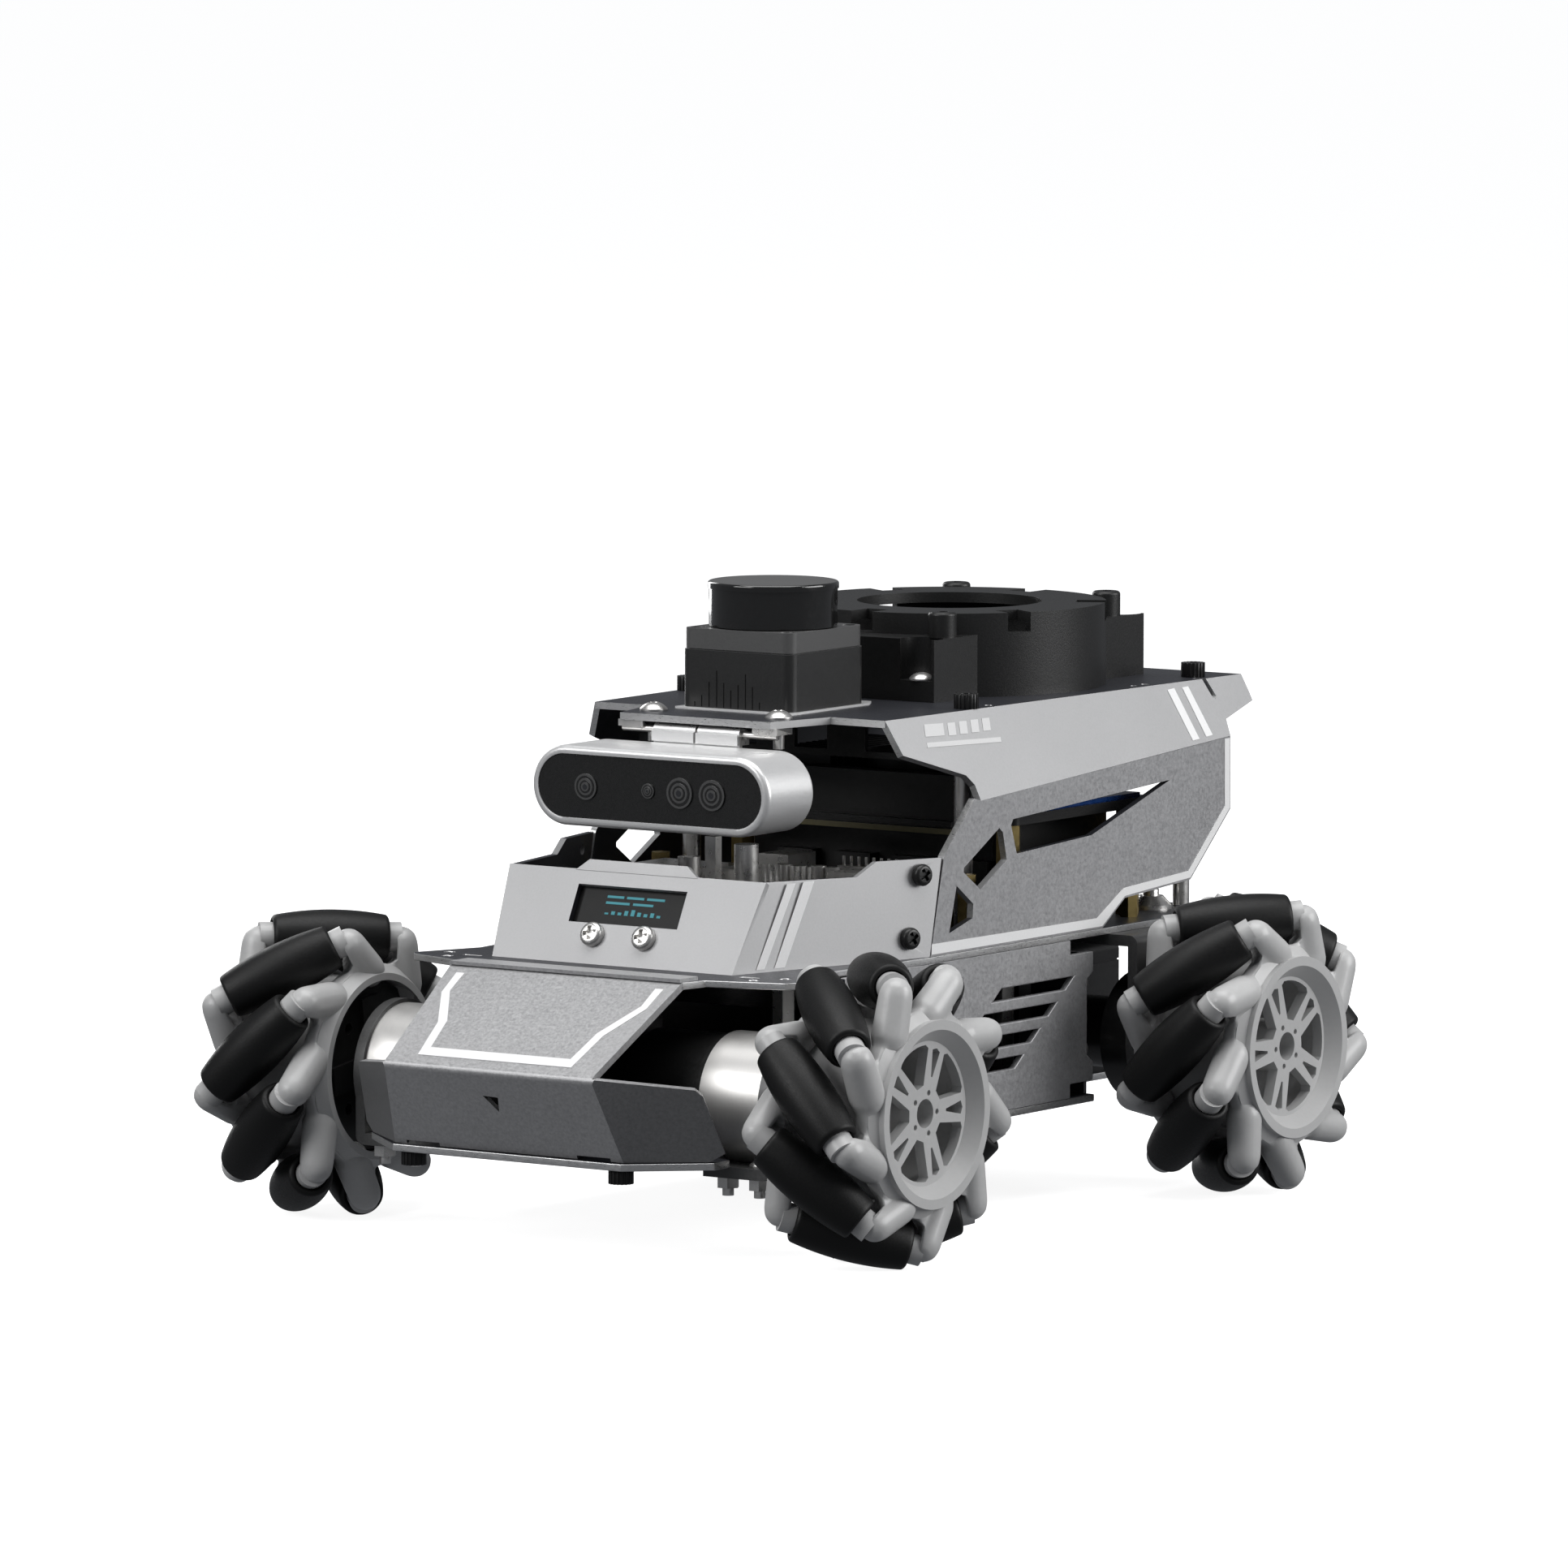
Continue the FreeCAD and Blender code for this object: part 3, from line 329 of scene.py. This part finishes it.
def controller_rule(c, n):
    if c.z < 89.9 and abs(c.x) > 34 and abs(c.y) > 20:
        return "brass"
    if c.z < 91.65 and c.y > -60:
        return "board_edge" if abs(n.z) < 0.5 else "board"
    if c.y < -60:
        return "screen"
    return None


paint("controller_board", "steel", controller_rule, 0.1)
paint("battery_pack", "black_satin", None, 0.3)


def screw_rule(c, n):
    if abs(abs(c.x) - 47.5) < 4.2 and c.z > 141:
        return "black_satin"
    if -30 < c.y < -15 and 78 < c.z < 102 and abs(c.x) > 57:
        return "black_satin"
    if c.z < 26.4 and (abs(abs(c.x) - 35) < 4.2 and c.y < -125 or abs(abs(c.x) - 30) < 4.2):
        return "black_satin"
    return None


paint("fasteners", "steel", screw_rule, 0.12)


def hub_rule(tag):
    side = 1 if tag.endswith("l") else -1
    axle = -AXLE_Y if tag.startswith("f") else AXLE_Y

    def rule(c, n):
        r = math.hypot(c.y - axle, c.z - WHEEL_R)
        local = c.x * side - TRACK_X
        if local < -18.5 and r < 3.2:
            return "steel"
        if local < -8.9 and r < 23.7 and not (local > -12.7 and r > 19.0):
            return "black_plastic"
        return None

    return rule


for tag in ("fl", "fr", "rl", "rr"):
    paint("wheel_hub_" + tag, "hub", hub_rule(tag), 0.45, 3)
    for k in range(9):
        paint("roller_%s_%d" % (tag, k + 1), "rubber", None, 0.35, 2)


# ---------------------------------------------------------------- printed marks and small details
def new_object(name, bm, mat, body):
    me = bpy.data.meshes.new(name)
    bm.normal_update()
    bm.to_mesh(me)
    bm.free()
    me.materials.append(M[mat])
    o = bpy.data.objects.new(name, me)
    bpy.context.scene.collection.objects.link(o)
    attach(o, body)
    return o


def slab(bm, low_points, high_points):
    # closes the space between two matching outlines
    low = [bm.verts.new(p) for p in low_points]
    high = [bm.verts.new(p) for p in high_points]
    bm.faces.new(low)
    bm.faces.new(high)
    for i in range(len(low)):
        j = (i + 1) % len(low)
        bm.faces.new((low[i], low[j], high[j], high[i]))


def loft(bm, rings, capped=True):
    # skins rings of vertices in turn
    n = len(rings[0])
    for p, q in zip(rings, rings[1:]):
        for i in range(n):
            bm.faces.new((p[i], p[(i + 1) % n], q[(i + 1) % n], q[i]))
    if capped:
        bm.faces.new(rings[0])
        bm.faces.new(rings[-1])


def print_marks(name, loops, normal, mat, body="chassis", lift=0.02, thick=0.12):
    # thin closed prints: each loop of drawing points is laid on its surface and thickened outward
    bm = bmesh.new()
    n = Vector(normal).normalized()
    for loop in loops:
        pts = [mm(*p) + n * lift * MM for p in loop]
        slab(bm, pts, [p + n * thick * MM for p in pts])
    bmesh.ops.recalc_face_normals(bm, faces=bm.faces)
    return new_object(name, bm, mat, body)


def band(inner, outer):
    # one loop for each step along two matching lines
    return [[inner[i], inner[i + 1], outer[i + 1], outer[i]] for i in range(len(inner) - 1)]


def strip(y, z):
    # a point on the left slanted strip
    return (SIDE_X - 0.42 * (z - 117.4) + 0.0254 * (y - 11.1), y, z)


# outlines of the left prints: y and z on the side and its strip, x and y on the hood, and whole
# points on the cheek
STRIP_N = Vector((1.0, -0.0254, 0.42)).normalized()
panel_in = [(134.2, 124.4), (134.4, 105.0), (115.1, 87.9), (81.0, 86.0), (67.0, 78.6), (-17.2, 79.0)]
panel_out = [(136.9, 124.5), (137.1, 104.3), (116.2, 85.9), (81.7, 83.7), (69.9, 76.1), (-17.3, 76.1)]
strip_bars = [[(-7.0, 139.2), (2.0, 138.9), (0.8, 135.6), (-8.2, 135.9)]]
BAR_STEP = 5.6
for k in range(4):
    x = BAR_STEP * k
    strip_bars.append([(4.0 + x, 138.8), (7.6 + x, 138.7), (6.4 + x, 135.3), (2.8 + x, 135.4)])
strip_bars += [[(-8.6, 134.3), (26.6, 133.2), (26.2, 131.9), (-9.0, 133.0)]]
strip_stripes = [[(114.1, 139.8), (117.7, 140.0), (121.6, 125.4), (118.1, 125.2)],
                 [(121.7, 139.9), (124.8, 140.0), (128.7, 126.0), (125.3, 125.7)]]
cheek_marks = [[(45.6, -66.5, 99.4), (46.4, -63.7, 99.4), (43.9, -75.2, 76.4), (43.1, -78.0, 76.4)],
               [(47.2, -60.9, 99.6), (48.3, -57.3, 99.6), (45.9, -68.2, 76.4), (44.9, -71.8, 76.4)]]
hood_in = [(32.3, -110.8), (32.3, -117.6), (25.3, -128.6), (23.0, -141.6)]
hood_out = [(35.0, -110.8), (34.6, -118.4), (27.9, -129.4), (25.8, -141.6)]


def slope_point(x, y):
    # a point on the hood's sloping top
    return (x, y, DECK_TOP + (y - HOOD_TOP_Y) * (DECK_TOP - HOOD_BEND_Z) / (HOOD_TOP_Y - HOOD_BEND_Y))


SLOPE_N = (0, -0.5278, 0.8494)
CHEEK_N = (0.9599, -0.2787, 0.0321)
hood_foot = [(-23.4, -138.6), (23.4, -138.6), (24.2, -141.6), (-24.2, -141.6)]
foot_loop = [slope_point(x, y) for x, y in hood_foot]
print_marks("hood_stripe_foot", [foot_loop], SLOPE_N, "white_print", lift=0.03)


def mirrored(loops, sx):
    return [[(sx * p[0], p[1], p[2]) for p in loop] for loop in loops]


for sx in (-1, 1):
    tag = "left" if sx > 0 else "right"
    edge = band([(SIDE_X, y, z) for y, z in panel_in], [(SIDE_X, y, z) for y, z in panel_out])
    print_marks("panel_border_" + tag, mirrored(edge, sx), (sx, 0, 0), "white_print")
    slant = (sx * STRIP_N.x, STRIP_N.y, STRIP_N.z)
    for name, loops, mat in (("strip_stripes_", strip_stripes, "white_print"),
                             ("strip_bars_", strip_bars, "pale_print")):
        on_strip = [[strip(y, z) for y, z in loop] for loop in loops]
        print_marks(name + tag, mirrored(on_strip, sx), slant, mat)
    cheek_n = (sx * CHEEK_N[0], CHEEK_N[1], CHEEK_N[2])
    print_marks("cheek_stripes_" + tag, mirrored(cheek_marks, sx), cheek_n, "white_print")
    hood = band([slope_point(x, y) for x, y in hood_in], [slope_point(x, y) for x, y in hood_out])
    print_marks("hood_stripe_" + tag, mirrored(hood, sx), SLOPE_N, "white_print")

# the display shows plain rows and level bars
DISPLAY_Y = -76.2
DISPLAY_Z = 90.95
glass_up = Vector((0, 12.5, 24.8)).normalized()
glass_n = (0, -glass_up.z, glass_up.y)


def glass(x, v):
    # a point on the display's glass, v up from its middle
    return (x, DISPLAY_Y + v * glass_up.y, DISPLAY_Z + v * glass_up.z)


levels = []
for k, h in enumerate((0.5, 1.0, 0.8, 1.4, 1.8, 1.2, 0.9, 1.3, 0.7)):
    x = -8.5 + 2.2 * k
    levels.append([glass(x, -2.7), glass(x + 1.2, -2.7), glass(x + 1.2, -2.7 + h), glass(x, -2.7 + h)])
for x0, x1, v in ((-9.0, -3.4, 2.2), (-2.4, 3.4, 2.2), (4.4, 10.4, 2.2), (-9.0, -1.0, 0.4), (0.2, 7.0, 0.4)):
    levels.append([glass(x0, v), glass(x1, v), glass(x1, v + 0.7), glass(x0, v + 0.7)])
print_marks("display_levels", levels, glass_n, "cyan", lift=0.03, thick=0.08)

# ten fine grooves on the scanner's front, whose base plate stands a little proud of it; each is drawn as a
# thin strip in black painted shade
BASE_EDGE = 1.0
GROOVE_HALF = 0.14
GROOVE_FOOT = 142.4
scan_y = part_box("scanner_body")[0][1] / MM - SHIFT + BASE_EDGE
grooves = []
for x, h in ((-13.8, 1.3), (-11.4, 3.2), (-8.9, 7.1), (-6.3, 10.3), (-3.9, 7.0), (-1.5, 5.0), (1.0, 6.6),
             (3.5, 9.8), (5.9, 6.4), (8.3, 2.1)):
    x0 = x - GROOVE_HALF
    x1 = x + GROOVE_HALF
    top = GROOVE_FOOT + h
    corners = ((x0, GROOVE_FOOT), (x1, GROOVE_FOOT), (x1, top), (x0, top))
    grooves.append([(gx, scan_y, gz) for gx, gz in corners])
print_marks("scanner_grooves", grooves, (0, -1, 0), "groove", lift=0.01, thick=0.05)

# four lenses drawn as rings on the front of the camera's window
window_low, window_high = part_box("camera_window")
face_y = window_low[1] / MM - SHIFT
face_z = (window_low[2] + window_high[2]) / 2 / MM
LENS_SIDES = 48


def lens(name, x, r):
    # stepped rings of a small lens standing just proud of the window
    steps = [(r, "ring_grey", 0.10), (r * 0.84, "camera_face", 0.16), (r * 0.66, "ring_grey", 0.22),
             (r * 0.50, "camera_face", 0.28), (r * 0.36, "ring_grey", 0.34), (r * 0.22, "lens", 0.40)]
    for k, (radius, mat, lift) in enumerate(steps):
        bm = bmesh.new()
        rings = []
        for rr, dy in ((radius, 0.0), (radius, lift * 0.7), (radius - 0.06, lift)):
            row = []
            for i in range(LENS_SIDES):
                a = math.tau * i / LENS_SIDES
                row.append(bm.verts.new(mm(x + rr * math.cos(a), face_y - dy, face_z + rr * math.sin(a))))
            rings.append(row)
        loft(bm, rings)
        bmesh.ops.recalc_face_normals(bm, faces=bm.faces)
        new_object("%s_ring_%d" % (name, k + 1), bm, mat, "camera")


for name, x, r in (("lens_a", -21.6, 3.7), ("lens_b", -0.4, 2.1), ("lens_c", 10.3, 4.3),
                   ("lens_d", 21.2, 4.3)):
    lens(name, x, r)


# ---------------------------------------------------------------- smooth petals that carry the rollers
def tapered(bm, a, b, ra, rb, n=20):
    # a capsule with a different radius at each end, as one closed shell
    axis = (b - a).normalized()
    side = axis.orthogonal().normalized()
    other = axis.cross(side)
    rows = []
    for t in (-90, -60, -30, 0):
        q = math.radians(t)
        rows.append((a + axis * ra * math.sin(q), ra * math.cos(q)))
    for t in (0, 30, 60, 90):
        q = math.radians(t)
        rows.append((b + axis * rb * math.sin(q), rb * math.cos(q)))
    rings = []
    for c, r in rows:
        r = max(r, 0.02)
        ring = []
        for i in range(n):
            a_i = math.tau * i / n
            ring.append(bm.verts.new(c + (side * math.cos(a_i) + other * math.sin(a_i)) * r))
        rings.append(ring)
    loft(bm, rings)


def polar(x, r, degrees):
    # x along the wheel's axle, outward; the rest about it
    a = math.radians(degrees)
    return Vector((x, r * math.cos(a), r * math.sin(a)))


def flange_ring(bm, x0, x1, r0, r1, n=96):
    # a flat ring about the axle
    rings = []
    for x, r in ((x0, r0), (x0, r1), (x1, r1), (x1, r0)):
        rings.append([bm.verts.new(polar(x, r, 360.0 * i / n)) for i in range(n)])
    loft(bm, rings + rings[:1], capped=False)


ROLLERS = 9
ROLLER_AXIS_R = 35.1
ROLLER_CLEAR_R = 8.45
ROLLER_SEAT = 18.75
NEAR_END = 1.6
PETAL_TIP = (14.6, 36.3, 22.5)
PETAL_TIP_R = 4.75
PETAL_ROOT = (14.2, 26.8, 37.0)
PETAL_ROOT_R = 5.2
WEB_IN = 11.8
WEB_DEPTH = 4.2
WEB_ROOT_R = 26.6
WEB_TIP_R = 3.9
RING_DEPTH = 4.6
RING_R = (24.4, 28.9)
VOXEL = 0.7


def keep_off_rollers(bm):
    # moves any point inside a roller's space out to its side, or to its end where that is less than
    # NEAR_END times as far
    d = Vector((1, 0, 1)).normalized()
    step = math.tau / ROLLERS
    for v in bm.verts:
        a = math.atan2(v.co.z, v.co.y)
        for k in (-1, 0, 1):
            turn = (round(a / step) + k) * step
            spin = Matrix.Rotation(turn, 3, "X")
            c = spin @ Vector((0, ROLLER_AXIS_R, 0))
            dd = spin @ d
            rel = v.co - c
            s = rel.dot(dd)
            away = rel - dd * s
            out = ROLLER_CLEAR_R - away.length
            ahead = ROLLER_SEAT - abs(s)
            if out <= 0 or ahead <= 0 or away.length < 1e-6:
                continue
            if ahead < out * NEAR_END:
                v.co = c + dd * math.copysign(ROLLER_SEAT, s) + away
            else:
                v.co = c + dd * s + away.normalized() * ROLLER_CLEAR_R


def petal_flange():
    # nine smooth petals on each face of the wheel, blended with the drum's flange
    bm = bmesh.new()
    flip = Matrix.Rotation(math.pi, 3, "Y")
    for face in (0, 1):
        part = bmesh.new()
        for k in range(ROLLERS):
            one = bmesh.new()
            tip = polar(*PETAL_TIP)
            tapered(one, tip, polar(*PETAL_ROOT), PETAL_TIP_R, PETAL_ROOT_R)
            rim = [polar(WEB_IN, WEB_ROOT_R, a) for a in (57, 47, 37, 27, 17)]
            middle = Vector((WEB_IN, tip.y, tip.z))
            cap = [middle + polar(0, WEB_TIP_R, b) for b in (-68, -32, 4, 40, 76, 112)]
            slab(one, rim + cap, [p + Vector((WEB_DEPTH, 0, 0)) for p in rim + cap])
            turn = Matrix.Rotation(math.tau / ROLLERS * k, 3, "X")
            bmesh.ops.rotate(one, verts=one.verts, cent=(0, 0, 0), matrix=turn)
            me = bpy.data.meshes.new("petal")
            one.to_mesh(me)
            one.free()
            part.from_mesh(me)
            bpy.data.meshes.remove(me)
        flange_ring(part, WEB_IN, WEB_IN + RING_DEPTH, *RING_R)
        if face:
            bmesh.ops.rotate(part, verts=part.verts, cent=(0, 0, 0), matrix=flip)
        me = bpy.data.meshes.new("face")
        part.to_mesh(me)
        part.free()
        bm.from_mesh(me)
        bpy.data.meshes.remove(me)
    bmesh.ops.recalc_face_normals(bm, faces=bm.faces)
    me = bpy.data.meshes.new("petals")
    bm.to_mesh(me)
    bm.free()
    o = bpy.data.objects.new("petals_work", me)
    bpy.context.scene.collection.objects.link(o)
    remesh = o.modifiers.new("remesh", "REMESH")
    remesh.mode = "VOXEL"
    remesh.voxel_size = VOXEL
    dg = bpy.context.evaluated_depsgraph_get()
    out = bpy.data.meshes.new_from_object(o.evaluated_get(dg))
    bpy.data.objects.remove(o)
    bm = bmesh.new()
    bm.from_mesh(out)
    for rounds, factor in ((3, 0.5), (2, 0.4)):
        for _ in range(rounds):
            bmesh.ops.smooth_vert(bm, verts=bm.verts, factor=factor, use_axis_x=True, use_axis_y=True,
                                  use_axis_z=True)
        keep_off_rollers(bm)
    bm.to_mesh(out)
    bm.free()
    return out


petals = petal_flange()
for tag, side, axle, hand, phase in (("fl", 1, -AXLE_Y, 1, 8.4), ("fr", -1, -AXLE_Y, 1, 8.4),
                                     ("rl", 1, AXLE_Y, -1, 17.3), ("rr", -1, AXLE_Y, -1, 17.3)):
    me = petals.copy()
    me.name = "petals_" + tag
    spin = Matrix.Rotation(math.radians(phase), 4, "X")
    place = Matrix.Translation(mm(side * TRACK_X, axle, WHEEL_R)) @ Matrix.Diagonal((side * MM, MM, MM, 1))
    me.transform(place @ spin @ Matrix.Diagonal((1, 1, hand, 1)))
    if side * hand < 0:
        me.flip_normals()
    me.materials.clear()
    me.materials.append(M["hub"])
    for p in me.polygons:
        p.use_smooth = True
    o = bpy.data.objects.new("petals_" + tag, me)
    bpy.context.scene.collection.objects.link(o)
    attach(o, "wheel_" + tag)


# ---------------------------------------------------------------- stage, lights and camera
def stage_floor():
    bm = bmesh.new()
    bmesh.ops.create_circle(bm, cap_ends=True, radius=40.0, segments=64)
    me = bpy.data.meshes.new("floor")
    bm.to_mesh(me)
    bm.free()
    o = bpy.data.objects.new("floor", me)
    bpy.context.scene.collection.objects.link(o)
    m = bpy.data.materials.new("floor_white")
    m.use_nodes = True
    nt = m.node_tree
    b = nt.nodes["Principled BSDF"]
    b.inputs["Base Color"].default_value = (0.55, 0.55, 0.55, 1)
    b.inputs["Roughness"].default_value = 1.0
    b.inputs["Specular IOR Level"].default_value = 0.0
    b.inputs["Emission Color"].default_value = (1, 1, 1, 1)
    b.inputs["Emission Strength"].default_value = 0.9
    me.materials.append(m)
    o.visible_glossy = False
    o.visible_diffuse = False
    return o


stage_floor()

world = bpy.data.worlds.new("studio")
bpy.context.scene.world = world
world.use_nodes = True
nt = world.node_tree
bg = nt.nodes["Background"]
bg.inputs["Color"].default_value = (0.15, 0.155, 0.165, 1)
bg.inputs["Strength"].default_value = 1.0


def area(name, loc, target, sx, sy, power, color=(1, 1, 1)):
    li = bpy.data.lights.new(name, "AREA")
    li.shape = "RECTANGLE"
    li.size = sx
    li.size_y = sy
    li.energy = power
    li.color = color
    o = bpy.data.objects.new(name, li)
    o.location = loc
    d = Vector(target) - Vector(loc)
    o.rotation_euler = d.to_track_quat("-Z", "Y").to_euler()
    bpy.context.scene.collection.objects.link(o)
    return o


# four soft lights; their powers are in watts
area("top_soft", (0.1, -0.2, 1.5), (0, 0, 0.1), 1.6, 1.2, 22)
area("left_soft", (1.5, 0.7, 0.7), (0, 0, 0.1), 1.2, 1.0, 22)
area("front_soft", (-0.7, -1.6, 1.0), (0, 0, 0.1), 1.2, 0.8, 16)
area("right_rim", (-1.4, 0.8, 0.5), (0, 0, 0.1), 0.5, 1.0, 6)

CAMERA_AT = mm(2009.90, -2925.80, 479.41)
az, el, roll = (math.radians(degrees) for degrees in (34.504, 5.798, 0.071))
# the camera's own axes: back from the view, right and up
back = Vector((math.sin(az) * math.cos(el), -math.cos(az) * math.cos(el), math.sin(el)))
right = Vector((math.cos(az), math.sin(az), 0))
up = back.cross(right)
rolled_right = right * math.cos(roll) + up * math.sin(roll)
rolled_up = up * math.cos(roll) - right * math.sin(roll)
cam = bpy.data.cameras.new("camera")
cam.sensor_width = 36
cam.lens = 290.27
cam.clip_start = 0.05
cam.clip_end = 200
co = bpy.data.objects.new("camera", cam)
rot = Matrix((rolled_right, rolled_up, back)).transposed()
co.matrix_world = Matrix.Translation(CAMERA_AT) @ rot.to_4x4()
bpy.context.scene.collection.objects.link(co)
bpy.context.scene.camera = co
bpy.context.scene.view_settings.view_transform = "Standard"
